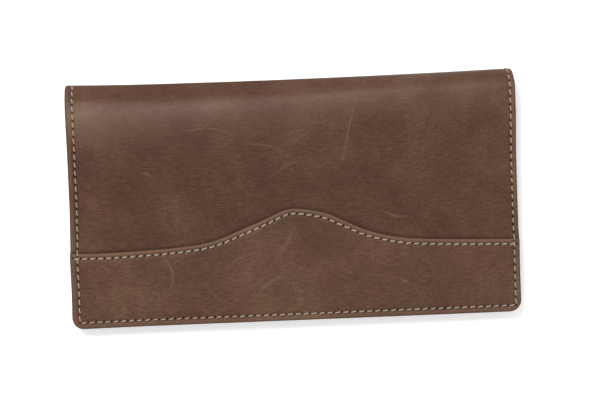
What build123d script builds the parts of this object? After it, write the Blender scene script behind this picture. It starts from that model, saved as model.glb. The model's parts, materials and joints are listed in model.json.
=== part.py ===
from build123d import *
import os
from math import asin, atan2, cos, degrees, radians, sin, tan

# A long wallet lying on its back cover, closed. Millimetres, +Z up.
# +X runs along the long side, +Y points at the folded spine, and the bottom edges are at -Y.
# The origin is under the middle of the closed wallet.

# ---- driving dimensions ----
WIDTH = 180.0            # along the spine
DEPTH = 97.0             # from the spine to the bottom edges
WEDGE = 4.3              # degrees between the two covers when closed
BEND_RADIUS = 7.0        # outside radius of the two bends beside the spine
SPINE_FLAT = 1.7         # flat part of the spine between the bends
CORNER_RADIUS = 4.5

LEATHER = 1.2            # cover and yoke leather
BOARD = 0.4              # card stiffener inside each cover
LINING = 0.3
POCKET_LEATHER = 0.7
POCKET_GAP = 0.3         # room left inside each flat pocket
BACKING_GAP = 0.4
BACKING = 0.6

TIER = 0.6               # leather of one card tier
TIER_STEP = 12.0         # how much of each card shows above the next tier
TIER_LENGTH = 46.0
TIER_COUNT = 4
FIRST_TIER = 7.0         # from the bend to the first card mouth
COLUMN_SEAM = 2.0        # from the middle to the seam beside each column of tiers

STITCH_PITCH = 3.2
STITCH_LENGTH = 2.1
THREAD = 0.75
GROOVE = 0.9
GROOVE_DEPTH = 0.35
WAVE_GROOVE = 1.15       # the yoke seam's groove, measured straight up the cover
SEAM_INSET = 2.4         # from the cut edge to the seam

NOTE_MOUTH = 5.0         # from the bend to the mouth of the note pocket
SLIP_MOUTH = 31.0        # from the bend to the mouth of the slip pocket
HEM = 4.0                # sewn-down border of a pocket
BODY_GAP = 0.3           # between bodies at the middle of each bend

WINDOW = (70.0, 26.0)    # opening of the identity window
WINDOW_RADIUS = 3.0
FILM = 0.2
FILM_BORDER = 4.0
WINDOW_DROP = 8.0        # from the panel's mouth to the window

# Upper edge of the yoke: distance right of the middle, height above the bottom edge.
YOKE_EDGE = [
    (-90.0, 29.7), (-77.0, 29.4), (-61.0, 29.8), (-45.0, 30.7), (-33.0, 32.4), (-21.5, 36.5), (-9.5, 42.0),
    (2.0, 44.2), (12.4, 42.3), (20.3, 38.8), (30.0, 34.4), (43.3, 31.2), (60.0, 29.9), (90.0, 28.8),
]

# ---- worked out ----
TURN = 90.0 + WEDGE / 2                     # degrees each bend turns through
HALF_TURN = TURN / 2 - degrees(BODY_GAP / 2 / (BEND_RADIUS - LEATHER - BOARD - LINING))
HALF_WIDTH = WIDTH / 2
SEAM_X = HALF_WIDTH - SEAM_INSET
LINED = LEATHER + BOARD + LINING            # thickness of a lined cover
BACK_LENGTH = DEPTH - BEND_RADIUS           # flat part of the back cover

wedge = radians(WEDGE)
turn = radians(TURN)
along_spine = Vector(0, cos(turn), sin(turn))
into_wallet = Vector(0, -sin(turn), cos(turn))
back_tangent = Vector(0, DEPTH / 2 - BEND_RADIUS, 0)
lower_centre = back_tangent + Vector(0, 0, BEND_RADIUS)
spine_low = lower_centre - into_wallet * BEND_RADIUS
spine_middle = spine_low + along_spine * (SPINE_FLAT / 2)
upper_centre = lower_centre + along_spine * SPINE_FLAT
front_inward = Vector(0, sin(wedge), -cos(wedge))
front_tangent = upper_centre - front_inward * BEND_RADIUS
FRONT_LENGTH = (front_tangent.Y + DEPTH / 2) / cos(wedge)

# Each body is drawn lying flat on its outside face: y = 0 where its bend starts, bottom edge at -y.
back_place = Plane(origin=back_tangent, x_dir=(1, 0, 0), z_dir=(0, 0, 1)).location
spine_place = Plane(origin=spine_middle, x_dir=(1, 0, 0), z_dir=into_wallet).location
front_place = Plane(origin=front_tangent, x_dir=(-1, 0, 0), z_dir=front_inward).location


def block(x0, x1, y0, y1, z0, z1):
    """A box between two corners."""
    return Pos((x0 + x1) / 2, (y0 + y1) / 2, (z0 + z1) / 2) * Box(x1 - x0, y1 - y0, z1 - z0)


def curled(length, low, high, x0=-HALF_WIDTH, x1=HALF_WIDTH):
    """A layer between two heights: flat for a length, then curling up to the middle of the bend."""
    centre = (0, BEND_RADIUS)
    outer = CenterArc(centre, BEND_RADIUS - low, -90, HALF_TURN)
    inner = CenterArc(centre, BEND_RADIUS - high, -90, HALF_TURN)
    edges = [
        Line((-length, low), (0, low)),
        outer,
        Line(outer @ 1, inner @ 1),
        inner,
        Line((0, high), (-length, high)),
        Line((-length, high), (-length, low)),
    ]
    profile = Plane.YZ * make_face(edges)
    return Pos(x0, 0, 0) * extrude(profile, x1 - x0, dir=(1, 0, 0))


def outline(length, low, high, inset=0.0):
    """The cover's outline with its two rounded bottom corners, as a prism."""
    top = BEND_RADIUS * 2
    sketch = Pos(0, (top - length + inset) / 2) * Rectangle(WIDTH - 2 * inset, top + length - inset)
    corners = sketch.vertices().group_by(Axis.Y)[0]
    sketch = fillet(corners, CORNER_RADIUS - inset)
    return Pos(0, 0, low) * extrude(sketch, high - low, dir=(0, 0, 1))


def seam_groove(length, low, depth, from_y=None):
    """The U-shaped stitching groove down both sides and along the bottom edge."""
    wide = GROOVE / 2
    bottom = SEAM_INSET - length
    groove = block(-SEAM_X - wide, SEAM_X + wide, bottom - wide, bottom + wide, low, low + depth)
    for side in (-SEAM_X, SEAM_X):
        if from_y is None:
            groove += curled(length - SEAM_INSET, low, low + depth, side - wide, side + wide)
        else:
            groove += block(side - wide, side + wide, bottom, from_y, low, low + depth)
    return groove


def layer(length, low, high):
    """A full-size layer of a cover that follows the bend."""
    return curled(length, low, high) & outline(length, low, high + BEND_RADIUS)


def pocket(length, mouth, low, gap, thick):
    """A pocket panel: a plate whose hem is sewn down on three sides, open toward the spine."""
    top = low + gap + thick
    panel = outline(length, low, top) & block(-HALF_WIDTH, HALF_WIDTH, -length, -mouth, low, top)
    room = block(HEM - HALF_WIDTH, HALF_WIDTH - HEM, HEM - length, 0, low, low + gap)
    return panel - room


def stiffener(length):
    """The board inside a cover, which stops where the bend starts."""
    margin = SEAM_INSET + THREAD
    return outline(length, LEATHER, LEATHER + BOARD, margin) & block(
        -HALF_WIDTH, HALF_WIDTH, -length, 0, LEATHER, LEATHER + BOARD)


# ---- stitches ----
def stitch(height, across=False):
    """One stitch of thread lying in the groove, its top at the given height."""
    size = (STITCH_LENGTH, THREAD) if across else (THREAD, STITCH_LENGTH)
    return Pos(0, 0, height + GROOVE_DEPTH / 2) * Box(*size, GROOVE_DEPTH)


def on_curl(distance):
    """Where a point on a curled layer's outside goes: positive is up the bend, negative down the cover."""
    if distance <= 0:
        return Pos(0, distance, 0)
    return Pos(0, 0, BEND_RADIUS) * Rot(X=degrees(distance / BEND_RADIUS)) * Pos(0, 0, -BEND_RADIUS)


def on_spine(distance):
    """Where a point on the spine's outside goes, measured from its middle."""
    side = 1 if distance > 0 else -1
    past_flat = abs(distance) - SPINE_FLAT / 2
    if past_flat <= 0:
        return Pos(0, distance, 0)
    tilt = Rot(X=side * degrees(past_flat / BEND_RADIUS))
    return Pos(0, side * SPINE_FLAT / 2, BEND_RADIUS) * tilt * Pos(0, 0, -BEND_RADIUS)


def row(start, end):
    """Stitch centres evenly spaced between two ends, close to the stitch pitch."""
    count = round((end - start) / STITCH_PITCH)
    return [start + (end - start) * (k + 0.5) / count for k in range(count)]


def rows_across(start, end, y, height):
    """A straight row of stitches along X."""
    return [Pos(x, y, 0) * stitch(height, across=True) for x in row(start, end)]


BEND_ARC = BEND_RADIUS * turn
BACK_SEAM = BACK_LENGTH - SEAM_INSET
FRONT_SEAM = FRONT_LENGTH - SEAM_INSET
SPINE_SPAN = 2 * BEND_ARC + SPINE_FLAT
SIDE_SEAM = BACK_SEAM + SPINE_SPAN + FRONT_SEAM


def side_stitches():
    """The seam down one side, shared out between the back cover, the spine and the front cover."""
    back, spine, front = [], [], []
    for distance in row(0, SIDE_SEAM):
        from_back = distance - BACK_SEAM
        from_front = SIDE_SEAM - distance - FRONT_SEAM
        if from_back < BEND_ARC / 2:
            back.append(from_back)
        elif from_front < BEND_ARC / 2:
            front.append(from_front)
        else:
            spine.append(from_back - SPINE_SPAN / 2)
    return back, spine, front


def both_sides(solid):
    """The same piece on the left and the right seam."""
    return [Pos(side, 0, 0) * solid for side in (-SEAM_X, SEAM_X)]


# ---- front cover's pieces that are not plain layers ----
def yoke_edge(drop=0.0):
    """The yoke's wavy upper edge as a curve on the front cover, lowered by a distance."""
    return Spline(*[(-x, y - drop - FRONT_LENGTH) for x, y in YOKE_EDGE])


def yoke_prism(low, high, drop=0.0):
    """Everything below the yoke's edge, the edge lowered by a distance."""
    edge = yoke_edge(drop)
    right, left = edge @ 0, edge @ 1
    under = -FRONT_LENGTH - 1
    edges = [
        edge,
        Line(left, (left.X, under)),
        Line((left.X, under), (right.X, under)),
        Line((right.X, under), right),
    ]
    return Pos(0, 0, low) * extrude(make_face(edges), high - low, dir=(0, 0, 1))


def make_yoke():
    """The second layer of leather over the lower half of the front, with its grooves."""
    groove_top = GROOVE_DEPTH - LEATHER
    yoke = yoke_prism(-LEATHER, 0) & outline(FRONT_LENGTH, -LEATHER, 0)
    yoke -= seam_groove(FRONT_LENGTH, -LEATHER, GROOVE_DEPTH, from_y=0)
    edge_groove = yoke_prism(-LEATHER, groove_top, SEAM_INSET - WAVE_GROOVE / 2)
    edge_groove -= yoke_prism(-LEATHER, groove_top, SEAM_INSET + WAVE_GROOVE / 2)
    return yoke - edge_groove


def yoke_stitches():
    """The seam that follows the yoke's wavy edge, between the two side seams."""
    seam = yoke_edge(SEAM_INSET)
    clear = SEAM_INSET + STITCH_LENGTH / 2
    stitches = []
    for distance in row(clear, seam.length - clear):
        place = seam.location_at(distance, position_mode=PositionMode.LENGTH).position
        along = seam.tangent_at(distance, position_mode=PositionMode.LENGTH)
        slant = Rot(Z=degrees(atan2(along.Y, along.X)))
        stitches.append(Pos(place) * slant * stitch(-LEATHER, across=True))
    return stitches


TIER_SLOPE = degrees(asin((TIER + POCKET_GAP) / TIER_STEP))
BACKING_TOP = LINED + BACKING_GAP + BACKING
COLUMN = (0.2, HALF_WIDTH - 0.6)            # one column of card tiers, from the middle outward
COLUMN_MIDDLE = (COLUMN[0] + COLUMN[1]) / 2


def on_tier(index):
    """Where a card tier's slope starts: at its foot, with +Y up the slope to its mouth."""
    foot = -(FIRST_TIER + index * TIER_STEP + TIER_LENGTH * cos(radians(TIER_SLOPE)))
    return Pos(0, foot, BACKING_TOP) * Rot(X=TIER_SLOPE)


def tier_slab(index, lift, thick, x0, x1, far=TIER_LENGTH):
    """Part of a card tier, from its mouth toward its foot, which meets the backing."""
    return on_tier(index) * block(x0, x1, TIER_LENGTH - far, TIER_LENGTH, lift, lift + thick)


def card_tier(index, x0, x1):
    """One leather card tier, with a narrow border under each side that holds it off the tier below."""
    tier = tier_slab(index, 0, TIER, x0, x1)
    if index == 0:
        return tier
    for edge in (x0, x1 - SEAM_INSET):
        tier += tier_slab(index, -POCKET_GAP, POCKET_GAP, edge, edge + SEAM_INSET,
                          far=TIER_LENGTH - TIER_STEP)
    return tier


def column_stitches():
    """The seams beside the two columns, a row on every part of a tier that shows."""
    stitches = []
    for index in range(TIER_COUNT):
        shows = TIER_LENGTH if index == TIER_COUNT - 1 else TIER_STEP
        for distance in row(TIER_LENGTH - shows + STITCH_LENGTH / 2, TIER_LENGTH - STITCH_LENGTH / 2):
            for side in (-COLUMN_SEAM, COLUMN_SEAM):
                stitches.append(on_tier(index) * Pos(side, distance, 0) * stitch(TIER))
    return stitches


def window_cut(border, low, high):
    """The identity window's opening, grown by a border, on the last tier's slope."""
    wide, tall = WINDOW
    sketch = RectangleRounded(wide + 2 * border, tall + 2 * border, WINDOW_RADIUS + border / 4)
    prism = extrude(Pos(0, TIER_LENGTH - WINDOW_DROP - tall / 2) * sketch, high - low, dir=(0, 0, 1))
    return on_tier(TIER_COUNT - 1) * Pos(-COLUMN_MIDDLE, 0, low) * prism


# ---- the nodes ----
def back_body():
    """The back cover with its note pockets."""
    divider_low = LINED
    note_low = divider_low + POCKET_GAP + LINING
    slip_low = note_low + POCKET_GAP + POCKET_LEATHER
    slip_top = slip_low + POCKET_GAP + POCKET_LEATHER
    note = pocket(BACK_LENGTH, NOTE_MOUTH, note_low, POCKET_GAP, POCKET_LEATHER)
    slip = pocket(BACK_LENGTH, SLIP_MOUTH, slip_low, POCKET_GAP, POCKET_LEATHER)
    back_side = side_stitches()[0]
    seam = rows_across(-SEAM_X, SEAM_X, SEAM_INSET - BACK_LENGTH, 0)
    for distance in back_side:
        seam += both_sides(on_curl(distance) * stitch(0))
    mouth_end = SEAM_X - HEM
    mouths = {}
    for name, mouth, top in (("note", NOTE_MOUTH, slip_low), ("slip", SLIP_MOUTH, slip_top)):
        y = -mouth - SEAM_INSET
        groove = block(-mouth_end, mouth_end, y - GROOVE / 2, y + GROOVE / 2, top - GROOVE_DEPTH, top)
        mouths[name] = (groove, rows_across(-mouth_end, mouth_end, y, top - GROOVE_DEPTH))
    return {
        "cover_back": layer(BACK_LENGTH, 0, LEATHER) - seam_groove(BACK_LENGTH, 0, GROOVE_DEPTH),
        "board_back": stiffener(BACK_LENGTH),
        "lining_back": layer(BACK_LENGTH, LEATHER + BOARD, LINED),
        "note_divider": pocket(BACK_LENGTH, 0.0, divider_low, POCKET_GAP, LINING),
        "note_pocket": note - mouths["note"][0],
        "slip_pocket": slip - mouths["slip"][0],
        "thread_back": Compound(seam),
        "thread_note_mouth": Compound(mouths["note"][1]),
        "thread_slip_mouth": Compound(mouths["slip"][1]),
    }


def spine_layer(low, high, x0=-HALF_WIDTH, x1=HALF_WIDTH):
    """A layer of the spine: a narrow flat with half a bend on each side of it."""
    half = curled(SPINE_FLAT / 2, low, high, x0, x1)
    upper = Pos(0, SPINE_FLAT / 2, 0) * half
    return upper + mirror(upper, Plane.XZ)


def spine_body():
    """The flexible spine between the covers."""
    cover = spine_layer(0, LEATHER)
    for side in (-SEAM_X, SEAM_X):
        cover -= spine_layer(0, GROOVE_DEPTH, side - GROOVE / 2, side + GROOVE / 2)
    seam = []
    for distance in side_stitches()[1]:
        seam += both_sides(on_spine(distance) * stitch(0))
    return {
        "cover_spine": cover,
        "lining_spine": spine_layer(LEATHER + BOARD, LINED),
        "thread_spine": Compound(seam),
    }


def front_body():
    """The front cover with its yoke, card tiers and identity window."""
    seam = rows_across(-SEAM_X, SEAM_X, SEAM_INSET - FRONT_LENGTH, -LEATHER)
    for distance in side_stitches()[2]:
        on_yoke = FRONT_LENGTH + distance < YOKE_EDGE[0][1]
        seam += both_sides(on_curl(distance) * stitch(-LEATHER if on_yoke else 0))
    nodes = {
        "cover_front": layer(FRONT_LENGTH, 0, LEATHER) - seam_groove(FRONT_LENGTH, 0, GROOVE_DEPTH),
        "yoke": make_yoke(),
        "board_front": stiffener(FRONT_LENGTH),
        "lining_front": layer(FRONT_LENGTH, LEATHER + BOARD, LINED),
        "card_backing": pocket(FRONT_LENGTH, FIRST_TIER - 4, LINED, BACKING_GAP, BACKING),
        "thread_front": Compound(seam),
        "thread_yoke": Compound(yoke_stitches()),
        "thread_card_centre": Compound(column_stitches()),
    }
    inner, outer = COLUMN
    for index in range(TIER_COUNT):
        nodes[f"card_left_{index + 1}"] = card_tier(index, inner, outer)
        nodes[f"card_right_{index + 1}"] = card_tier(index, -outer, -inner)
    nodes["id_window_panel"] = nodes.pop(f"card_right_{TIER_COUNT}") - window_cut(0, 0, TIER)
    nodes["id_window_film"] = window_cut(FILM_BORDER, -FILM, 0)
    return nodes


bodies = [(back_place, back_body()), (spine_place, spine_body()), (front_place, front_body())]

os.makedirs("parts", exist_ok=True)
for place, nodes in bodies:
    for name, shape in nodes.items():
        export_step(place * shape, f"parts/{name}.step")

# ---- hinge lines ----
# Each bend turns about the line that keeps its outside length: half the arc along, and this far in.
hinge_in = BEND_RADIUS * (1 - (turn / 2) / tan(turn / 2))
for name, place, offset in (("lower", back_place, BEND_ARC / 2), ("upper", front_place, BEND_ARC / 2)):
    line = (place * Pos(0, offset, hinge_in)).position
    print(f"{name} hinge line y {line.Y:.4f} z {line.Z:.4f} turn {TURN:.3f}")
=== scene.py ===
import json
import math

import bmesh
import bpy
import numpy as np
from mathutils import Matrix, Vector, geometry, kdtree


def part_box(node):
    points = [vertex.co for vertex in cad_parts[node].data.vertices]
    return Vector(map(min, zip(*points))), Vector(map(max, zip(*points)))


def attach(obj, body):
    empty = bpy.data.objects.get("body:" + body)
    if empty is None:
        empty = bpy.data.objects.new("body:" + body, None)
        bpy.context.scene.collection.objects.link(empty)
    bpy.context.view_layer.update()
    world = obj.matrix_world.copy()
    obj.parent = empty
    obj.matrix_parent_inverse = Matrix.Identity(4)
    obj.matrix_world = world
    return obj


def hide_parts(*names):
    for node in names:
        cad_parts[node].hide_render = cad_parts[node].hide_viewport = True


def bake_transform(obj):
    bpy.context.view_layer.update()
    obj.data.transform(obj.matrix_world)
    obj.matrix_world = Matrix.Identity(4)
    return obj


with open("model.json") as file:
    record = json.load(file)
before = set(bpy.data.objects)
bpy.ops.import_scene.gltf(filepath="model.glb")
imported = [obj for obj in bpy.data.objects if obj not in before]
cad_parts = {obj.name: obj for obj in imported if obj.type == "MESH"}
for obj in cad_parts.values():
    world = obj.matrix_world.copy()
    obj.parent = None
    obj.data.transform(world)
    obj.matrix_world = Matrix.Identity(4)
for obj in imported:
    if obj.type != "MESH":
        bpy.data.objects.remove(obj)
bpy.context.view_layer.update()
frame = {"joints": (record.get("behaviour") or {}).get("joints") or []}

# ---- the wallet's own dimensions, in millimetres, worked out from the frame ----
MM = 0.001
joints = {joint["name"]: joint for joint in frame["joints"]}
lower, upper = joints["lower_bend"], joints["upper_bend"]
TURN = math.radians(lower["range_deg"][1])
LIFT = 1 - (TURN / 2) / math.tan(TURN / 2)
RADIUS = lower["pos_m"][2] / MM / LIFT              # outside of each bend
ARC = RADIUS * TURN
WEDGE = 2 * TURN - math.pi
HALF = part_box("cover_front")[1].x / MM


def side_frame(hinge, toward, inward):
    """Where a cover's outside leaves its bend: origin, direction to the spine, direction into the wallet."""
    hinge = np.array(hinge["pos_m"]) / MM
    return hinge - toward * ARC / 2 - inward * LIFT * RADIUS, toward, inward


FRAMES = {
    "back": side_frame(lower, np.array([0, 1, 0.0]), np.array([0, 0, 1.0])),
    "front": side_frame(upper, np.array([0, math.cos(WEDGE), math.sin(WEDGE)]),
                        np.array([0, math.sin(WEDGE), -math.cos(WEDGE)])),
}
across_spine = [o + RADIUS * (math.sin(TURN) * t + (1 - math.cos(TURN)) * i) for o, t, i in FRAMES.values()]
SPINE_FLAT = float(np.linalg.norm(across_spine[0] - across_spine[1]))
TANGENT = SPINE_FLAT / 2 + ARC                      # from the middle of the spine to a flat cover
LENGTH = {
    side: (FRAMES[side][0][1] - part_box("cover_" + side)[0].y / MM) / FRAMES[side][1][1]
    for side in FRAMES
}
END = {side: TANGENT + LENGTH[side] for side in FRAMES}

# Heights into the wallet from a cover's outside face.
COVER = 1.2
LINED = 1.9
YOKE = 1.2
CORNER = 4.5
SEAM = {"left": 3.0, "right": 2.1, "bottom": 2.5, "wave": 2.1}
PITCH = 3.2

# Upper edge of the yoke: right of the middle, up from the bottom edge.
YOKE_EDGE = [
    (-90.0, 29.7), (-77.0, 29.4), (-61.0, 29.8), (-45.0, 30.7), (-33.0, 32.4), (-21.5, 36.5), (-11.5, 40.5),
    (-4.0, 43.7), (2.0, 44.3), (12.4, 42.3), (20.3, 38.8), (30.0, 34.4), (43.3, 31.2), (60.0, 29.9),
    (90.0, 28.8),
]


# ---- small tools ----
def smooth_step(value):
    """0 below 0, 1 above 1, and smooth between."""
    value = np.clip(value, 0, 1)
    return value * value * (3 - 2 * value)


def noise(x, y, cell, seed):
    """Smooth value noise between -1 and 1 with features about one cell wide."""
    table = np.random.default_rng(seed).uniform(-1, 1, (128, 128))
    gx, gy = np.asarray(x) / cell, np.asarray(y) / cell
    ix, iy = np.floor(gx).astype(int), np.floor(gy).astype(int)
    fx, fy = smooth_step(gx - ix), smooth_step(gy - iy)
    low = table[ix % 128, iy % 128] * (1 - fx) + table[(ix + 1) % 128, iy % 128] * fx
    high = table[ix % 128, (iy + 1) % 128] * (1 - fx) + table[(ix + 1) % 128, (iy + 1) % 128] * fx
    return low * (1 - fy) + high * fy


def along(points, step):
    """A polyline resampled at an even step, ends kept."""
    points = np.asarray(points, float)
    lengths = np.r_[0, np.cumsum(np.linalg.norm(np.diff(points, axis=0), axis=1))]
    count = max(2, int(round(lengths[-1] / step)) + 1)
    stops = np.linspace(0, lengths[-1], count)
    return np.stack([np.interp(stops, lengths, points[:, k]) for k in range(2)], 1)


def curve(points, step):
    """A smooth curve through given points, resampled at an even step."""
    points = np.asarray(points, float)
    padded = np.vstack([2 * points[0] - points[1], points, 2 * points[-1] - points[-2]])
    t = np.linspace(0, 1, 24, endpoint=False)[:, None]
    spans = []
    for a, b, c, d in zip(padded, padded[1:], padded[2:], padded[3:]):
        spans.append(0.5 * (2 * b + (c - a) * t + (2 * a - 5 * b + 4 * c - d) * t ** 2
                            + (3 * b - a - 3 * c + d) * t ** 3))
    return along(np.vstack(spans + [points[-1:]]), step)


def left_of(path):
    """Unit vectors to the left of a path's direction at each of its points."""
    ahead = np.gradient(path, axis=0)
    ahead /= np.linalg.norm(ahead, axis=1)[:, None]
    return np.stack([-ahead[:, 1], ahead[:, 0]], 1)


def nearest(points, targets):
    """Distance to, and index of, the nearest target for every point."""
    tree = kdtree.KDTree(len(targets))
    for index, target in enumerate(targets):
        tree.insert((target[0], target[1], 0), index)
    tree.balance()
    found = [tree.find((x, y, 0)) for x, y in points]
    return np.array([f[2] for f in found]), np.array([f[1] for f in found])


def inside(points, outline):
    """Which points lie inside a closed outline."""
    x, y = points[:, 0], points[:, 1]
    result = np.zeros(len(points), bool)
    for (x0, y0), (x1, y1) in zip(outline, np.roll(outline, -1, axis=0)):
        if y0 != y1:
            crosses = (y0 > y) != (y1 > y)
            result ^= crosses & (x < (x1 - x0) * (y - y0) / (y1 - y0) + x0)
    return result


def hexagonal(outline, step):
    """Evenly spread points inside an outline."""
    low, high = outline.min(0), outline.max(0)
    rows = []
    for index, y in enumerate(np.arange(low[1], high[1], step * 0.866)):
        x = np.arange(low[0] + (index % 2) * step / 2, high[0], step)
        rows.append(np.stack([x, np.full(len(x), y)], 1))
    points = np.vstack(rows)
    return points[inside(points, outline)]


# ---- where things go ----
# How far each side and the bottom edge stray outward (right, or down) from straight lines.
LEFT_BOW = [(0, 0.0), (14, 0.2), (28, 0.05), (31, 0.3), (47, 0.7), (71, 0.65), (85, 0.45), (97, 0.45),
            (101, 0.8)]
RIGHT_BOW = [(0, -0.2), (17, -0.2), (28, 0.0), (33, -0.2), (50, -0.2), (65, -0.1), (79, 0.32), (91, 0.34),
             (99, -0.5), (101, -1.0)]
BOTTOM_BOW = [(-90, 0.82), (-60, 0.55), (0, 0.5), (60, 0.42), (90, 0.3)]
RAISED = 0.15            # the fold stands this much further up than the frame's
SOFT_REACH = 6.0         # how quickly the leather settles from the fold to the flat of the cover
SOFTNESS = [(-90, 1.8), (-75, 1.9), (-40, 2.3), (0, 1.9), (35, 1.1), (90, 0.7)]
FOLD_PALE_AND_HIGHLIGHT = [(-90, 0.52), (-50, 0.44), (0, 0.16), (45, 0.27), (90, 0.32)]      # how pale the fold is painted: partly rubbed leather, partly a painted highlight
SAG = 1.15               # how far the middle of the fold sinks between its stitched ends
SAG_REACH = 34           # how far down the cover the sinking can be seen
BOTTOM_REACH = 25        # how far up the cover the bottom edge's stray can be seen


def bow(points, where):
    """A stray read off between its points."""
    return np.interp(where, [x for x, _ in points], [y for _, y in points])


def sag(u):
    """How far the fold sinks at one place, a little more on the left."""
    return SAG * np.clip(1 - (u / HALF) ** 2, 0, 1) ** 0.7 * (1 - 0.25 * u / HALF)


def place(side, u, w, h, sagging=1.0):
    """A point of a cover, in metres. w runs from the spine's middle (0) to the bottom edge, negative."""
    origin, toward, inward = FRAMES[side]
    u, w, h = np.broadcast_arrays(np.asarray(u, float), np.asarray(w, float), np.asarray(h, float))
    up = w + TANGENT
    angle = np.clip(up / RADIUS, 0, TURN)
    past = np.maximum(up - ARC, 0)
    y = np.minimum(up, 0) + (RADIUS - h) * np.sin(angle) + past * math.cos(TURN)
    z = RADIUS - (RADIUS - h) * np.cos(angle) + past * math.sin(TURN)
    if side == "front":
        softness = bow(SOFTNESS, u) * np.exp(np.minimum(y, RADIUS) / SOFT_REACH)
        z = z + softness * np.clip(1 - z / (RADIUS + SPINE_FLAT / 2), 0, 1)
    world = origin + y[..., None] * toward + z[..., None] * inward
    above = w + END[side]
    share = np.abs(u / HALF) ** 3
    world[..., 0] = u + np.where(u < 0, bow(LEFT_BOW, above), bow(RIGHT_BOW, above)) * share
    world[..., 1] -= sagging * (sag(u) - RAISED) * smooth_step(1 + w / SAG_REACH)
    world[..., 1] -= bow(BOTTOM_BOW, u) * smooth_step(1 - above / BOTTOM_REACH)
    return world * MM


def on(side):
    """The placing function of one cover."""
    return lambda u, w, h: place(side, u, w, h)


# ---- slabs: closed pieces of leather or cloth with rounded edges ----
OUTLINE_STEP = 0.5


def cover_outline(side, top, inset=0.0, wave=None):
    """A panel's outline, anticlockwise seen with u right and w up: straight top, or a wavy one."""
    right, bottom = HALF - inset, -END[side] + inset
    corner = max(CORNER - inset, 0.4)
    turns = np.linspace(0, math.pi / 2, 12)
    middle = right - corner
    left_turn = np.stack([-middle - corner * np.cos(turns), bottom + corner * (1 - np.sin(turns))], 1)
    right_turn = np.stack([middle + corner * np.sin(turns), bottom + corner * (1 - np.cos(turns))], 1)
    upper_edge = np.array([(right, top), (-right, top)]) if wave is None else wave[::-1]
    loop = np.vstack([upper_edge[-1:], left_turn, right_turn, upper_edge])
    return along(loop, OUTLINE_STEP)[:-1]


def inset_directions(outline, open_edge):
    """The direction into the piece at each outline point; on an open edge only sideways, at its ends."""
    ahead = np.roll(outline, -1, 0) - np.roll(outline, 1, 0)
    ahead /= np.linalg.norm(ahead, axis=1)[:, None]
    inward = np.stack([-ahead[:, 1], ahead[:, 0]], 1)
    if open_edge is not None:
        on_edge = np.abs(outline[:, 1] - open_edge) < 0.01
        inward[on_edge] = 0
        ends = on_edge & (np.abs(outline[:, 0]) > HALF - 0.01)
        inward[ends, 0] = -np.sign(outline[ends, 0])
    return inward


def fill(ring, points):
    """Triangles that fill a ring, using extra points inside it, and where the ring's own points went."""
    flat = [Vector(p) for p in (np.vstack([ring, points]) if len(points) else ring)]
    loop = list(range(len(ring)))
    coords, _, faces, origins, _, _ = geometry.delaunay_2d_cdt(flat, [], [loop], 1, 1e-5)
    went = {origin[0]: index for index, origin in enumerate(origins) if origin}
    return np.array([c[:] for c in coords]), faces, [went[k] for k in loop]


def bands(paths, half_width, step):
    """Rows of closely spaced points along each side of some paths."""
    offsets = np.arange(-half_width, half_width + step / 2, step)
    fine = [along(path, step) for path in paths]
    return np.vstack([line + left_of(line) * offset for line in fine for offset in offsets])


FINE_STEP = 0.25         # between a face's points beside its fine paths
BACK_STEP = 2.5          # between the points of its plain back


def face_points(ring, step, fine, fine_width):
    """Points to fill a face with: evenly spread, and closer together beside the fine paths."""
    points = hexagonal(ring, step)
    points = points[nearest(points, ring)[0] > step * 0.45]
    if len(fine):
        close = bands(fine, fine_width, FINE_STEP)
        close = close[inside(close, ring)]
        close = close[nearest(close, ring)[0] > FINE_STEP * 0.5]
        path_points = np.vstack([along(path, 0.5) for path in fine])
        points = points[nearest(points, path_points)[0] > fine_width + step * 0.35]
        points = np.vstack([points, close])
    return points


ROLLED_TO = 4            # the place in an edge's profile where its roll has ended


def edge_profile(thick, roll):
    """The edge from face to back as insets and depths, rolled more at the face than at the back."""
    front, back = min(roll, thick * 0.55), min(roll, thick * 0.3)
    turns = np.radians([0, 25, 50, 75])
    rolled = [(front * (1 - math.sin(a)), front * (1 - math.cos(a))) for a in turns]
    return rolled + [(0, front), (0, thick - back), (back * 0.3, thick - back * 0.3), (back, thick)]


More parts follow.
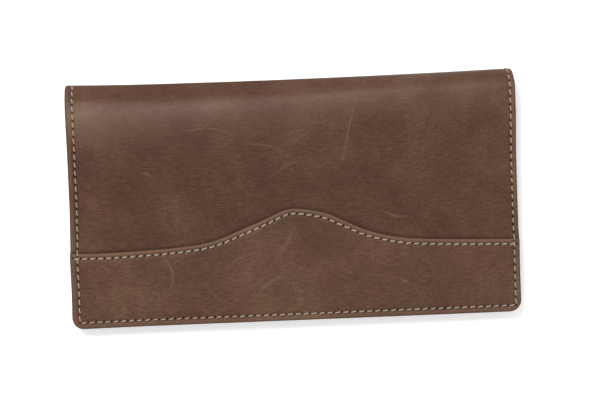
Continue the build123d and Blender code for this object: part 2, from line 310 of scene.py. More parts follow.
def slab(name, placing, outline, face, back, step=0.8, fine=(), fine_width=1.7, relief=None, roll=0.35,
         open_edge=None, materials=(), uv_shift=(0.0, 0.0)):
    """A closed sheet whose visible face has relief and rounded edges. face and back are heights h."""
    thick, way = abs(back - face), np.sign(back - face)
    inward = inset_directions(outline, open_edge)
    profile = edge_profile(thick, roll)
    number = len(outline)
    first = outline + inward * profile[0][0]
    top, faces, top_ring = fill(first, face_points(first, step, fine, fine_width))
    last = outline + inward * profile[-1][0]
    coarse = hexagonal(last, BACK_STEP)
    coarse = coarse[nearest(coarse, last)[0] > 1.0] if len(coarse) else coarse
    base, base_faces, base_ring = fill(last, coarse)
    layers = [outline + inward * gap for gap, _ in profile[1:-1]]
    flat = np.vstack([top] + layers + [base])
    depth = np.concatenate([np.zeros(len(top))] + [np.full(number, d) for _, d in profile[1:-1]]
                           + [np.full(len(base), profile[-1][1])])
    rise, masks = relief(flat[:, 0], flat[:, 1]) if relief else (np.zeros(len(flat)), {})
    drop = depth - rise * np.clip(1 - depth / thick, 0, 1)
    world = placing(flat[:, 0], flat[:, 1], face + way * drop)
    base_start = len(top) + number * len(layers)
    loops = [top_ring] + [range(start, start + number) for start in range(len(top), base_start, number)]
    loops.append([base_start + k for k in base_ring])
    all_faces = [tuple(f) for f in faces]
    edge_from = len(all_faces)
    for a, b in zip(loops, loops[1:]):
        all_faces += [(a[k], a[(k + 1) % number], b[(k + 1) % number], b[k]) for k in range(number)]
    edge_to = len(all_faces)
    all_faces += [tuple(base_start + k for k in f) for f in base_faces]
    piece = make_piece(name, world, all_faces, materials)
    mesh = piece.data
    flat_pattern(mesh, (flat + np.array(uv_shift)) / 10)
    if len(materials) > 1:
        index = np.zeros(len(mesh.polygons), int)
        index[edge_from + number * (ROLLED_TO - 1):edge_to] = 1
        mesh.polygons.foreach_set("material_index", index)
    for mask, values in masks.items():
        attribute = mesh.attributes.new(mask, "FLOAT", "POINT")
        on_face = depth < profile[ROLLED_TO][1] * 0.9
        attribute.data.foreach_set("value", (values * on_face).astype(np.float32))
    if open_edge is not None:
        sharpen_open_edge(mesh, flat, open_edge)
    return piece


def flat_pattern(mesh, positions):
    """Gives a mesh the coordinates of its flat pattern, one unit to a centimetre."""
    layer = mesh.uv_layers.new(name="flat")
    corner_vertex = np.empty(len(mesh.loops), int)
    mesh.loops.foreach_get("vertex_index", corner_vertex)
    layer.data.foreach_set("uv", positions[corner_vertex].astype(np.float32).ravel())


def make_piece(name, vertices, faces, materials):
    """A mesh object with smooth faces that point outward."""
    mesh = bpy.data.meshes.new(name)
    mesh.from_pydata([tuple(v) for v in vertices], [], faces)
    work = bmesh.new()
    work.from_mesh(mesh)
    bmesh.ops.recalc_face_normals(work, faces=work.faces)
    work.to_mesh(mesh)
    work.free()
    mesh.polygons.foreach_set("use_smooth", [True] * len(mesh.polygons))
    for material in materials:
        mesh.materials.append(material)
    piece = bpy.data.objects.new(name, mesh)
    bpy.context.scene.collection.objects.link(piece)
    return piece


def sharpen_open_edge(mesh, flat, open_edge):
    """Keeps the hidden wall where two pieces meet out of the smooth shading of their faces."""
    pairs = np.empty(len(mesh.edges) * 2, int)
    mesh.edges.foreach_get("vertices", pairs)
    pairs = pairs.reshape(-1, 2)
    at_edge = np.abs(flat[:, 1] - open_edge) < 0.01
    sharp = at_edge[pairs].all(1)
    attribute = mesh.attributes.new("sharp_edge", "BOOLEAN", "EDGE")
    attribute.data.foreach_set("value", sharp)


# ---- seams ----
def slot_count(length):
    """How many stitches fit a seam at the stitch pitch."""
    return max(1, round(length / PITCH))


class Seam:
    """A row of stitches along a path on one cover, with a needle hole at each end of a stitch."""

    def __init__(self, side, path, height, slant=10.0, outward=True, size=0.22):
        self.side, self.height = side, height
        self.slant, self.outward, self.size = slant, outward, size
        self.path = along(path, 0.25)
        lengths = np.r_[0, np.cumsum(np.linalg.norm(np.diff(self.path, axis=0), axis=1))]
        count = slot_count(lengths[-1])
        self.holes = self.at(lengths, np.linspace(0, lengths[-1], count + 1))
        self.middles = self.at(lengths, (np.arange(count) + 0.5) * lengths[-1] / count)
        ahead = self.at(lengths, (np.arange(count) + 0.55) * lengths[-1] / count) - self.middles
        self.angles = np.arctan2(ahead[:, 1], ahead[:, 0])

    def at(self, lengths, stops):
        """The points of the path at some lengths along it."""
        return np.stack([np.interp(stops, lengths, self.path[:, k]) for k in range(2)], 1)


GROOVE_WIDTH = 0.95      # half the width that a seam pulls in
HOLE = 0.55              # depth of a needle hole
HOLE_WIDTH = 0.44


def seam_relief(points, seams, groove=0.16):
    """How far seams pull the leather in, and a mask of the needle holes."""
    path = np.vstack([seam.path for seam in seams])
    holes = np.vstack([seam.holes for seam in seams])
    to_path, to_hole = nearest(points, path)[0], nearest(points, holes)[0]
    pit = np.exp(-(to_hole / HOLE_WIDTH) ** 2)
    return -groove * np.exp(-(to_path / GROOVE_WIDTH) ** 2) - HOLE * pit, pit


THREAD_REACH = 1.30      # half a stitch's length along its path, both dives included
THREAD_RISE = 0.10       # of a stitch's middle above the leather
THREAD_DIVE = 0.95       # how far its ends go into their holes


def stitches(name, seams, material, seed):
    """Every stitch of some seams as one mesh: short waxed threads that dive into their holes."""
    draw = np.random.default_rng(seed)
    length_steps, round_steps = 11, 10
    s = np.linspace(-1, 1, length_steps)
    around = np.linspace(0, 2 * math.pi, round_steps, endpoint=False)
    taper = 1 - 0.18 * np.abs(s) ** 3
    vertices, faces, uvs = [], [], []
    for seam in seams:
        for (u, w), angle in zip(seam.middles, seam.angles):
            tilt = angle + math.radians(seam.slant + draw.normal(0, 2.0))
            reach = THREAD_REACH * (1 + draw.normal(0, 0.03))
            lift = THREAD_RISE + draw.normal(0, 0.02)
            x = s * reach
            path_u, path_w = u + x * math.cos(tilt), w + x * math.sin(tilt)
            sink = lift - THREAD_DIVE * np.abs(s) ** 3
            side_u, side_w = -math.sin(tilt), math.cos(tilt)
            ring_across = np.outer(taper * seam.size, np.cos(around))
            ring_up = np.outer(taper * seam.size * 0.85, np.sin(around)) + sink[:, None]
            way = -1 if seam.outward else 1
            height = seam.height(path_u, path_w) if callable(seam.height) else seam.height
            placed = place(seam.side, path_u[:, None] + ring_across * side_u,
                           path_w[:, None] + ring_across * side_w,
                           np.broadcast_to(np.asarray(height), s.shape)[:, None] + way * ring_up)
            start = len(vertices)
            vertices.extend(placed.reshape(-1, 3))
            for i in range(length_steps - 1):
                for k in range(round_steps):
                    n = (k + 1) % round_steps
                    a, b = start + i * round_steps, start + (i + 1) * round_steps
                    faces.append((a + k, a + n, b + n, b + k))
            for end in (start, start + (length_steps - 1) * round_steps):
                faces.append(tuple(end + k for k in range(round_steps)))
            uvs.extend([(xi / 10, a / 20) for xi in x for a in around])
    piece = make_piece(name, vertices, faces, [material])
    flat_pattern(piece.data, np.array(uvs))
    return piece


# ---- materials ----
def add(tree, kind, inputs=None, **settings):
    """A shader node with its settings, and its inputs set or linked."""
    made = tree.nodes.new(kind)
    for key, value in settings.items():
        setattr(made, key, value)
    for key, value in (inputs or {}).items():
        if isinstance(value, bpy.types.NodeSocket):
            tree.links.new(value, made.inputs[key])
        else:
            made.inputs[key].default_value = value
    return made


def maths(tree, operation, a, b=0.0, c=0.0, clamp=False):
    """The result of one math node."""
    return add(tree, "ShaderNodeMath", {0: a, 1: b, 2: c}, operation=operation, use_clamp=clamp).outputs[0]


def remap(tree, value, low, high, to_low=0.0, to_high=1.0):
    """A value remapped smoothly from one range to another."""
    ranges = {"From Min": low, "From Max": high, "To Min": to_low, "To Max": to_high}
    made = add(tree, "ShaderNodeMapRange", {"Value": value, **ranges}, interpolation_type="SMOOTHSTEP")
    return made.outputs["Result"]


def mix(tree, factor, a, b, blend="MIX"):
    """Two colours mixed."""
    made = add(tree, "ShaderNodeMix", data_type="RGBA", blend_type=blend)
    for socket, value in ((made.inputs[0], factor), (made.inputs[6], a), (made.inputs[7], b)):
        if isinstance(value, bpy.types.NodeSocket):
            tree.links.new(value, socket)
        else:
            socket.default_value = value
    return made.outputs[2]


def texture(tree, kind, vector, scale, stretch=(1, 1, 1), **inputs):
    """A procedural texture whose scale is in features per millimetre of leather."""
    scales = tuple(10 * scale * k for k in stretch)
    moved = add(tree, "ShaderNodeMapping", {"Vector": vector, "Scale": scales})
    inputs = {key.replace("_", " "): value for key, value in inputs.items()}
    return add(tree, kind, {"Vector": moved.outputs[0], "Scale": 1.0, **inputs})


def cloudy(tree, vector, scale, stretch=(1, 1, 1), **inputs):
    """A noise texture's value."""
    return texture(tree, "ShaderNodeTexNoise", vector, scale, stretch, **inputs).outputs["Fac"]


def new_material(name, roughness=0.5, specular=0.4, sheen=0.0, alpha=1.0):
    """A material with a Principled shader, and its flat-pattern coordinates."""
    material = bpy.data.materials.new(name)
    material.use_nodes = True
    tree = material.node_tree
    tree.nodes.clear()
    shader = add(tree, "ShaderNodeBsdfPrincipled", {
        "Roughness": roughness, "Specular IOR Level": specular, "Sheen Weight": sheen,
        "Sheen Roughness": 0.5, "Alpha": alpha})
    output = add(tree, "ShaderNodeOutputMaterial")
    tree.links.new(shader.outputs[0], output.inputs["Surface"])
    flat = add(tree, "ShaderNodeUVMap", uv_map="flat").outputs[0]
    return material, tree, shader, flat


def finish_material(tree, shader, colour, height, strength, distance, rough=None):
    """Links a material's colour, its bump and, where it varies, its roughness."""
    bump = add(tree, "ShaderNodeBump", {"Height": height, "Strength": strength, "Distance": distance})
    tree.links.new(bump.outputs[0], shader.inputs["Normal"])
    tree.links.new(colour, shader.inputs["Base Color"])
    if rough is not None:
        tree.links.new(rough, shader.inputs["Roughness"])


def times(colour, factor):
    """A colour made lighter or darker."""
    return [factor * channel for channel in colour[:3]] + [1]


RUBBED_AND_HIGHLIGHT = (0.200, 0.118, 0.078, 1)        # leather rubbed pale, also the colour of the painted highlights over the fold and along the yoke's edge
# painted shade inside the needle holes
HOLE_SHADE = (0.011, 0.007, 0.005, 1)
GREENER = (0.98, 1.14, 1.05, 1)


def leather(name, light, middle, dark, olive=0.5, grain=1.0):
    """Oiled, slightly distressed leather: mottled tones, fine pores, faint fibres and pale crease lines, with
    wear, painted highlight and painted shade taken from the mesh's masks.
    """
    material, tree, shader, flat = new_material(name, specular=0.13)
    clouds = cloudy(tree, flat, 0.030, Detail=3.0, Roughness=0.6, Distortion=0.5)
    patches = cloudy(tree, flat, 0.11, Detail=5.0, Roughness=0.62, Distortion=0.9)
    mottle = cloudy(tree, flat, 0.55, (0.7, 1.3, 1), Detail=4.0, Roughness=0.6)
    fibres = cloudy(tree, flat, 2.2, (0.6, 1.3, 1), Detail=3.0, Roughness=0.6)
    streaks = cloudy(tree, flat, 1.3, (0.24, 1.1, 1), Detail=3.0, Roughness=0.65, Distortion=0.4)
    hues = cloudy(tree, flat, 0.028, Detail=2.0, Distortion=0.8)

    # tone
    tone = maths(tree, "MULTIPLY_ADD", patches, 0.34, maths(tree, "MULTIPLY", mottle, 0.16))
    tone = maths(tree, "MULTIPLY_ADD", clouds, 0.5, tone)
    colour = mix(tree, remap(tree, tone, 0.36, 0.54), dark, middle)
    colour = mix(tree, remap(tree, tone, 0.48, 0.68), colour, light)
    greener = mix(tree, 1.0, colour, GREENER, "MULTIPLY")
    colour = mix(tree, remap(tree, hues, 0.46, 0.62, 0.0, olive), colour, greener)
    flecks = maths(tree, "MULTIPLY", remap(tree, fibres, 0.30, 0.70, 0.70, 1.30),
                   remap(tree, streaks, 0.32, 0.68, 0.82, 1.18))
    flecks = add(tree, "ShaderNodeCombineColor", {0: flecks, 1: flecks, 2: flecks}).outputs[0]
    colour = mix(tree, 1.0, colour, flecks, "MULTIPLY")

    # creases
    creases = texture(tree, "ShaderNodeTexVoronoi", flat, 0.13, (0.75, 1.3, 1), Randomness=1.0)
    creases.feature = "DISTANCE_TO_EDGE"
    bend = texture(tree, "ShaderNodeTexNoise", flat, 0.25, Detail=2.0)
    swayed = add(tree, "ShaderNodeMix", {0: 0.10}, data_type="VECTOR")
    tree.links.new(creases.inputs["Vector"].links[0].from_socket, swayed.inputs[4])
    tree.links.new(bend.outputs["Color"], swayed.inputs[5])
    tree.links.new(swayed.outputs[1], creases.inputs["Vector"])
    line = remap(tree, creases.outputs["Distance"], 0.0, 0.035, 1.0, 0.0)
    line = maths(tree, "MULTIPLY", line, remap(tree, patches, 0.5, 0.62))
    colour = mix(tree, maths(tree, "MULTIPLY", line, 0.16), colour, light)

    # relief
    pores = texture(tree, "ShaderNodeTexVoronoi", flat, 1.9, Randomness=1.0).outputs["Distance"]
    height = maths(tree, "MULTIPLY", remap(tree, pores, 0.0, 0.45), 0.30)
    height = maths(tree, "MULTIPLY_ADD", fibres, 0.5, height)
    height = maths(tree, "MULTIPLY_ADD", cloudy(tree, flat, 3.4, Detail=3.0, Roughness=0.7), 0.55, height)
    height = maths(tree, "MULTIPLY_ADD", line, -0.5, height)

    # wear, painted highlight and painted shade
    rub, shade, hole = [add(tree, "ShaderNodeAttribute", attribute_name=mask).outputs["Fac"]
                        for mask in ("rub", "shade", "hole")]
    # rubbed wear, and painted highlight over the fold and along the yoke's edge
    colour = mix(tree, maths(tree, "MULTIPLY", rub, 0.75, clamp=True), colour, RUBBED_AND_HIGHLIGHT)
    # painted shadow beside the yoke's edge; also darkens the cut edges and the creases beside pocket mouths
    colour = mix(tree, shade, colour, times(dark, 0.45))
    # painted shade in the needle holes
    colour = mix(tree, remap(tree, hole, 0.30, 0.85), colour, HOLE_SHADE)
    rough = remap(tree, mottle, 0.3, 0.7, 0.36, 0.46)
    finish_material(tree, shader, colour, height, 0.45 * grain, 0.00012, rough)
    return material


def edge_paint(name, colour):
    """The dark burnished paint on a cut edge."""
    material, tree, shader, flat = new_material(name, specular=0.18)
    uneven = cloudy(tree, flat, 0.9, Detail=4.0, Roughness=0.6)
    worn = mix(tree, remap(tree, uneven, 0.45, 0.75), colour, times(colour, 2.2))
    finish_material(tree, shader, worn, uneven, 0.35, 0.00015, remap(tree, uneven, 0.3, 0.7, 0.36, 0.55))
    return material


def waxed_thread(name, colour):
    """Twisted, waxed thread."""
    material, tree, shader, flat = new_material(name, roughness=0.5, specular=0.35, sheen=0.1)
    turned = add(tree, "ShaderNodeMapping", {"Vector": flat, "Rotation": (0, 0, math.radians(38))})
    ply = add(tree, "ShaderNodeTexWave", {"Vector": turned.outputs[0], "Scale": 7.0, "Distortion": 1.2,
                                          "Detail": 2.0, "Detail Scale": 3.0}).outputs["Fac"]
    fuzz = cloudy(tree, flat, 5.0, Detail=3.0)
    shade = maths(tree, "MULTIPLY_ADD", ply, 0.6, maths(tree, "MULTIPLY", fuzz, 0.4))
    twisted = mix(tree, remap(tree, shade, 0.2, 0.75), times(colour, 0.62), colour)
    finish_material(tree, shader, twisted, shade, 0.6, 0.00012)
    return material


def woven(name, colour):
    """A fine plain-weave lining."""
    material, tree, shader, flat = new_material(name, roughness=0.75, specular=0.15, sheen=0.06)
    wave = {"Vector": flat, "Scale": 9.0, "Distortion": 0.4, "Detail": 1.0}
    warp, weft = [add(tree, "ShaderNodeTexWave", wave, bands_direction=way).outputs["Fac"] for way in "XY"]
    weave = maths(tree, "MAXIMUM", warp, weft)
    slub = cloudy(tree, flat, 0.5, (0.2, 2.0, 1), Detail=3.0)
    shade = maths(tree, "MULTIPLY_ADD", slub, 0.5, maths(tree, "MULTIPLY", weave, 0.5))
    cloth = mix(tree, remap(tree, shade, 0.2, 0.9), times(colour, 0.6), times(colour, 1.35))
    finish_material(tree, shader, cloth, weave, 0.5, 0.0001)
    return material


def pressed_board(name, colour):
    """Pressed fibre board."""
    material, tree, shader, flat = new_material(name, roughness=0.85, specular=0.2)
    fibres = cloudy(tree, flat, 1.2, (0.4, 1.6, 1), Detail=5.0, Roughness=0.7)
    finish_material(tree, shader, mix(tree, fibres, times(colour, 0.7), colour), fibres, 0.4, 0.0001)
    return material


def scuffed_film(name):
    """Clear plastic film, faintly scuffed."""
    material, tree, shader, flat = new_material(name, roughness=0.1, specular=0.5, alpha=0.14)
    scuffs = cloudy(tree, flat, 0.8, (0.1, 2.0, 1), Detail=5.0, Roughness=0.7)
    shader.inputs["Base Color"].default_value = (0.42, 0.43, 0.43, 1)
    tree.links.new(remap(tree, scuffs, 0.45, 0.75, 0.06, 0.35), shader.inputs["Roughness"])
    return material


LEATHER_TONES = ((0.097, 0.047, 0.029), (0.0745, 0.032, 0.018), (0.059, 0.024, 0.0135))
YOKE_TONES = ((0.110, 0.056, 0.033), (0.087, 0.040, 0.023), (0.069, 0.032, 0.018))
POCKET_TONES = ((0.096, 0.051, 0.031), (0.073, 0.034, 0.020), (0.056, 0.026, 0.015))
cover_leather = leather("cover_leather", *[tone + (1,) for tone in LEATHER_TONES])
yoke_leather = leather("yoke_leather", *[tone + (1,) for tone in YOKE_TONES])
pocket_leather = leather("pocket_leather", *[tone + (1,) for tone in POCKET_TONES], olive=0.3, grain=0.8)
painted = edge_paint("edge_paint", (0.036, 0.019, 0.012, 1))
beige_thread = waxed_thread("beige_thread", (0.455, 0.37, 0.30, 1))
lining_cloth = woven("lining_cloth", (0.050, 0.033, 0.025, 1))
fibre_board = pressed_board("fibre_board", (0.42, 0.36, 0.28, 1))
clear_film = scuffed_film("clear_film")

# ---- seams of the covers ----
wave_points = [(x, y - END["front"]) for x, y in YOKE_EDGE]
wave_line = curve(wave_points, 0.4)
wave_seam_line = wave_line - left_of(wave_line) * SEAM["wave"]


def perimeter(side):
    """The seam paths of one cover from the spine's middle down, along the bottom and back up."""
    left, right, bottom = -HALF + SEAM["left"], HALF - SEAM["right"], -END[side] + SEAM["bottom"]
    corners = [(left, 0.0), (left, bottom), (right, bottom), (right, 0.0)]
    return [list(pair) for pair in zip(corners, corners[1:])]


def yoke_edge(u):
    """How far down the cover the yoke's upper edge is, as w."""
    return np.interp(u, wave_line[:, 0], wave_line[:, 1])


def front_height(u, w):
    """Stitches of the front's perimeter lie on the yoke below its edge, and on the cover above it."""
    return -YOKE * smooth_step((yoke_edge(u) - w) / 0.9 + 0.5)


front_seams = [Seam("front", path, front_height) for path in perimeter("front")]
back_seams = [Seam("back", path, 0.0, slant=-10.0) for path in perimeter("back")]
wave_kept = np.abs(wave_seam_line[:, 0]) < HALF - 1.0
wave_seam = Seam("front", wave_seam_line[wave_kept], -YOKE, size=0.27)

# Creases and scuffs of the front: points right of the middle and up from the bottom edge,
# then how far the line stands out, its half width and how pale it is rubbed.
CREASES = [
    ([(-53.0, 27.6), (-50.6, 23.9), (-49.1, 20.4), (-49.3, 17.3), (-49.9, 14.5)], 0.10, 0.45, 0.50),
    ([(-46.2, 76.0), (-39.7, 77.1), (-32.8, 77.6), (-25.1, 75.8), (-20.7, 74.3)], 0.07, 0.40, 0.32),
    ([(-17.7, 71.1), (-13.9, 70.4), (-8.1, 69.5), (-4.8, 67.8)], 0.07, 0.40, 0.32),
    ([(28.4, 92.0), (26.2, 84.6), (24.2, 78.8), (22.5, 71.1), (20.7, 63.2)], 0.05, 0.42, 0.48),
    ([(-58.6, 79.2), (-59.6, 77.0), (-61.1, 74.7)], 0.05, 0.35, 0.30),
    ([(-0.7, 35.0), (-3.1, 30.5), (-5.9, 26.8)], 0.09, 0.60, 0.42),
    ([(-4.4, 17.8), (-9.4, 15.6), (-14.4, 12.0)], 0.09, 0.50, 0.40),
    ([(12.4, 23.4), (9.2, 19.7), (7.2, 15.2)], 0.06, 0.60, 0.16),
    ([(-42.0, 11.5), (-38.4, 11.6)], 0.03, 0.25, 0.35),
    ([(36.3, 41.7), (40.3, 39.9), (45.1, 39.4)], 0.04, 0.30, 0.62),
    ([(3.0, 63.7), (-2.0, 61.3), (-7.2, 58.1)], 0.06, 0.45, 0.32),
    ([(42.6, 14.3), (44.4, 13.2)], 0.04, 0.50, 0.70),
    ([(53.6, 6.6), (53.2, 5.2)], 0.04, 0.30, 0.40),
    ([(-36.0, 15.5), (-33.0, 11.0), (-29.5, 8.5), (-26.0, 10.0)], 0.06, 0.45, 0.26),
    ([(-26.0, 22.5), (-22.5, 25.0), (-18.5, 26.5)], 0.06, 0.45, 0.24),
    ([(-59.4, 60.4), (-57.6, 60.2), (-56.4, 59.2)], 0.04, 0.35, 0.55),
]
crease_lines = [
    (curve([(x, y - END["front"]) for x, y in points], 0.25), tall, wide, pale)
    for points, tall, wide, pale in CREASES
]


def crease_relief(points):
    """The ridges of the front's creases, and how pale they are rubbed."""
    rise, rub = np.zeros(len(points)), np.zeros(len(points))
    for line, tall, wide, pale in crease_lines:
        distance, index = nearest(points, line)
        ends = np.sin(np.pi * np.clip(index / max(len(line) - 1, 1), 0.06, 0.94))
        strength = ends ** 0.6 * np.exp(-(distance / wide) ** 2)
        rise += tall * strength
        rub = np.maximum(rub, pale * strength)
    return rise, rub


def undulation(u, w, seed):
    """Soft unevenness of leather, none of it at the middle of the spine."""
    rise = 0.16 * noise(u, w, 31, seed) + 0.045 * noise(u, w, 9, seed + 1)
    rise += 0.012 * noise(u, w, 2.6, seed + 2)
    return rise * smooth_step(-w / 9)


def fold_wrinkles(u, w, seed):
    """Fine wrinkles along the bend beside the spine."""
    band = smooth_step(-w / 2) * smooth_step((w + TANGENT + 7) / 7)
    return 0.035 * noise(u / 7, w, 0.9, seed) * band


def border_gap(side, u, w):
    """Distance to the nearest sewn edge of a cover."""
    return np.minimum(HALF - np.abs(u), w + END[side])


def edge_falls(side, u, w):
    """Leather between a seam and the cut edge, rounding down to the edge."""
    return -0.20 * np.exp(-border_gap(side, u, w).clip(0) / 0.7)


def rub_and_fold_highlight(side, u, w):
    """The border outside the seams is rubbed paler; over the fold the leather is painted paler, partly as
    stretched leather and partly as a painted highlight.
    """
    border = 0.42 * smooth_step((2.0 - border_gap(side, u, w)) / 0.8) * (0.85 + 0.3 * noise(u, w, 7, 78))
    # over the fold: partly pale stretched leather, partly a painted highlight
    below_bend = -(w + TANGENT) - 2.5 + 3.5 * (u / HALF)
    reach = np.where(below_bend < 0, 4.5, 9.0 - 2.0 * u / HALF)
    over_bend = 0.14 * smooth_step((2 - below_bend) / 4)
    fold_rub_and_highlight = over_bend + bow(FOLD_PALE_AND_HIGHLIGHT, u) * np.exp(-(below_bend / reach) ** 2)
    fold_rub_and_highlight = fold_rub_and_highlight * (0.85 + 0.45 * noise(u, w, 14, 77))
    return np.maximum(border, fold_rub_and_highlight)


def rim_shade(side, u, w):
    """Darkens the face within about half a millimetre of the cut edges."""
    return 0.75 * smooth_step((0.55 - border_gap(side, u, w)) / 0.5)


def front_relief(u, w):
    """The front cover's relief, flat where the yoke lies on it, with painted shadow on the cover beside the
    yoke's edge.
    """
    points = np.stack([u, w], 1)
    pull, pit = seam_relief(points, front_seams)
    ridge, rub = crease_relief(points)
    above_yoke = w - yoke_edge(u)
    open_leather = 1 - smooth_step(-above_yoke / 1.5)
    rise = undulation(u, w, 11) + fold_wrinkles(u, w, 21) + edge_falls("front", u, w) + ridge
    rub = np.maximum(rub, rub_and_fold_highlight("front", u, w))
    # painted shadow on the cover just above the yoke's edge, together with the darkening at the cut edges
    shade = np.maximum(rim_shade("front", u, w), 0.6 * np.exp(-(above_yoke / 0.9) ** 2))
    return (rise + pull) * open_leather, {"hole": pit * open_leather, "rub": rub, "shade": shade}


def yoke_relief(u, w):
    """The yoke's relief, with a painted highlight outside its seam that is strongest along its edge."""
    points = np.stack([u, w], 1)
    pull, pit = seam_relief(points, front_seams + [wave_seam])
    ridge, rub = crease_relief(points)
    to_edge = nearest(points, wave_line)[0]
    rise = undulation(u, w, 31) + edge_falls("front", u, w) + ridge - 0.12 * np.exp(-to_edge / 0.6)
    # painted highlight between the wave seam and the edge, where the leather slopes up to it
    border = 0.36 * (1 - smooth_step((to_edge - 1.3) / 0.8))
    # painted highlight along the rounded edge itself
    edge_highlight = 0.75 * np.exp(-((to_edge - 0.55) / 0.35) ** 2)
    rub = np.maximum.reduce([rub, rub_and_fold_highlight("front", u, w), border, edge_highlight])
    return rise + pull, {"hole": pit, "rub": rub, "shade": rim_shade("front", u, w)}


def back_relief(u, w):
    """The back cover's relief, which only goes inward, as the wallet lies on it."""
    pull, pit = seam_relief(np.stack([u, w], 1), back_seams)
    rise = undulation(u, w, 51) - 0.2 * smooth_step(-w / 9)
    rise += fold_wrinkles(u, w, 61) + edge_falls("back", u, w)
    masks = {"hole": pit, "rub": rub_and_fold_highlight("back", u, w), "shade": rim_shade("back", u, w)}
    return np.minimum(rise, 0) + pull, masks


# ---- inside: heights of the layers ----
TIERS = 4
TIER = 0.6
TIER_STEP = 12.0
TIER_LENGTH = 45.87      # of a tier, measured along the cover
FIRST_TIER = 7.0
TIER_RISE = math.tan(WEDGE)
NOTE_MOUTH = 5.0
SLIP_MOUTH = 31.0
BACKING_MOUTH = 3.0
BACKING_FACE = 2.9
COLUMN = (0.2, HALF - 0.6)
COLUMN_SEAM = 2.0
MOUTH_SEAM = 2.4         # from a pocket's mouth to the seam below it
MOUTH_END = 83.6         # from the middle to each end of that seam
POCKET_ROOM = 0.3
BACKING_ROOM = 0.4
WINDOW = (70.0, 26.0)
WINDOW_RADIUS = 3.0
WINDOW_DROP = 8.0        # from its tier's mouth to the window
FILM_BORDER = 3.6
FILM_RADIUS = 4.0
# Each flat layer of the back: its mouth's distance from the bend, its face's height, the room under it and
# how thick it is.
BACK_LAYERS = {
    "note_divider": (0.0, 2.5, POCKET_ROOM, 0.3),
    "note_pocket": (NOTE_MOUTH, 3.5, 2 * POCKET_ROOM, 0.7),
    "slip_pocket": (SLIP_MOUTH, 4.5, 3 * POCKET_ROOM, 0.7),
}


def pressed(side, u, w, room):
    """How far the layers of a pocket are drawn together by the seam around them."""
    gap = border_gap(side, u, w)
    return 0.24 * (1 - smooth_step((gap - 2.7) / 0.8)) + room * (1 - smooth_step((gap - 3.4) / 4))


def inside_layer(side, room=0.0):
    """The placing function of a layer inside the wallet, with the room under it given."""
    return lambda u, w, h: place(side, u, w, h - pressed(side, u, w, room))


def tier_mouth(index):
    """Where a card tier's mouth is, as w."""
    return -TANGENT - FIRST_TIER - index * TIER_STEP


def tier_base(index, u, w):
    """The height of a card tier's underside."""
    steps_to_foot = (FIRST_TIER + index * TIER_STEP + TIER_LENGTH + w + TANGENT) / TIER_STEP
    free = steps_to_foot * TIER_STEP * TIER_RISE
    stacked = np.clip(steps_to_foot, 0, index) * (TIER + 0.03)
    from_seam = np.minimum(np.abs(u) - COLUMN_SEAM, HALF - 3 - np.abs(u))
    loose = smooth_step((from_seam - 0.5) / 13)
    return BACKING_FACE - pressed("front", u, w, BACKING_ROOM) + free * loose + stacked * (1 - loose)


def on_tier(index):
    """The placing function of one card tier."""
    return lambda u, w, h: place("front", u, w, tier_base(index, u, w) + h)


def inner_surface(side, u, w):
    """The height of the innermost face of a cover, with every layer's mouth eased a little."""
    u, w = np.broadcast_arrays(np.asarray(u, float), np.asarray(w, float))
    if side == "back":
        faces = [(mouth, face - pressed(side, u, w, room)) for mouth, face, room, _ in BACK_LAYERS.values()]
    else:
        faces = [(BACKING_MOUTH, BACKING_FACE - pressed(side, u, w, BACKING_ROOM))]
        faces += [(FIRST_TIER + index * TIER_STEP, tier_base(index, u, w) + TIER) for index in range(TIERS)]
    height = LINED - pressed(side, u, w, 0.0)
    for mouth, face in faces:
        shown = smooth_step((-w - TANGENT - mouth) / 0.8 + 0.5)
        height = height + (face - height) * shown
    return height


def inner_height(side):
    """The height function of one cover's innermost face."""
    return lambda u, w: inner_surface(side, u, w)


def inner_relief(seams, mouth=None, seed=70, soft=1.0):
    """Relief of an inside layer: soft unevenness, its seams and the crease pressed beside its mouth."""
    def relief(u, w):
        """How far the face stands out, and its masks."""
        pull, pit = seam_relief(np.stack([u, w], 1), seams, groove=0.10)
        rise = soft * (0.07 * noise(u, w, 24, seed) + 0.03 * noise(u, w, 7, seed + 1))
        masks = {"hole": pit, "rub": 0.12 + 0.1 * noise(u, w, 12, seed + 2)}
        if mouth is not None:
            below = mouth - w
            rise = rise - 0.10 * np.exp(-((below - 1.5) / 0.28) ** 2)
            masks["shade"] = 0.35 * np.exp(-((below - 1.5) / 0.30) ** 2)
            masks["rub"] = np.maximum(masks["rub"], 0.35 * np.exp(-(below / 1.0) ** 2))
        return rise + pull, masks
    return relief


# ---- inside: seams ----
def inner_seams(side):
    """The inner face of a cover's perimeter seams."""
    height = inner_height(side)
    return [Seam(side, path, height, slant=-10.0, outward=False, size=0.24) for path in perimeter(side)]


def straight_seam(side, start, end):
    """One straight inner seam between two points of a cover."""
    return Seam(side, [start, end], inner_height(side), slant=10.0, outward=False, size=0.24)


front_inner = inner_seams("front")
back_inner = inner_seams("back")
mouth_lines = [-TANGENT - mouth - MOUTH_SEAM for mouth in (NOTE_MOUTH, SLIP_MOUTH)]
note_seam, slip_seam = [straight_seam("back", (-MOUTH_END, w), (MOUTH_END, w)) for w in mouth_lines]
column_seams = [straight_seam("front", (u, tier_mouth(0) - 1), (u, tier_mouth(0) - 81))
                for u in (-COLUMN_SEAM, COLUMN_SEAM)]

# ---- covers ----
def blend_over_bend(piece, side):
    """Bakes a piece's transform into its mesh; the piece is not made to bend."""
    start, end = place(side, 0, -SPINE_FLAT / 2, 0, 0.0), place(side, 0, -TANGENT, 0, 0.0)
    if side == "front":
        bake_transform(piece)
    else:
        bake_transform(piece)


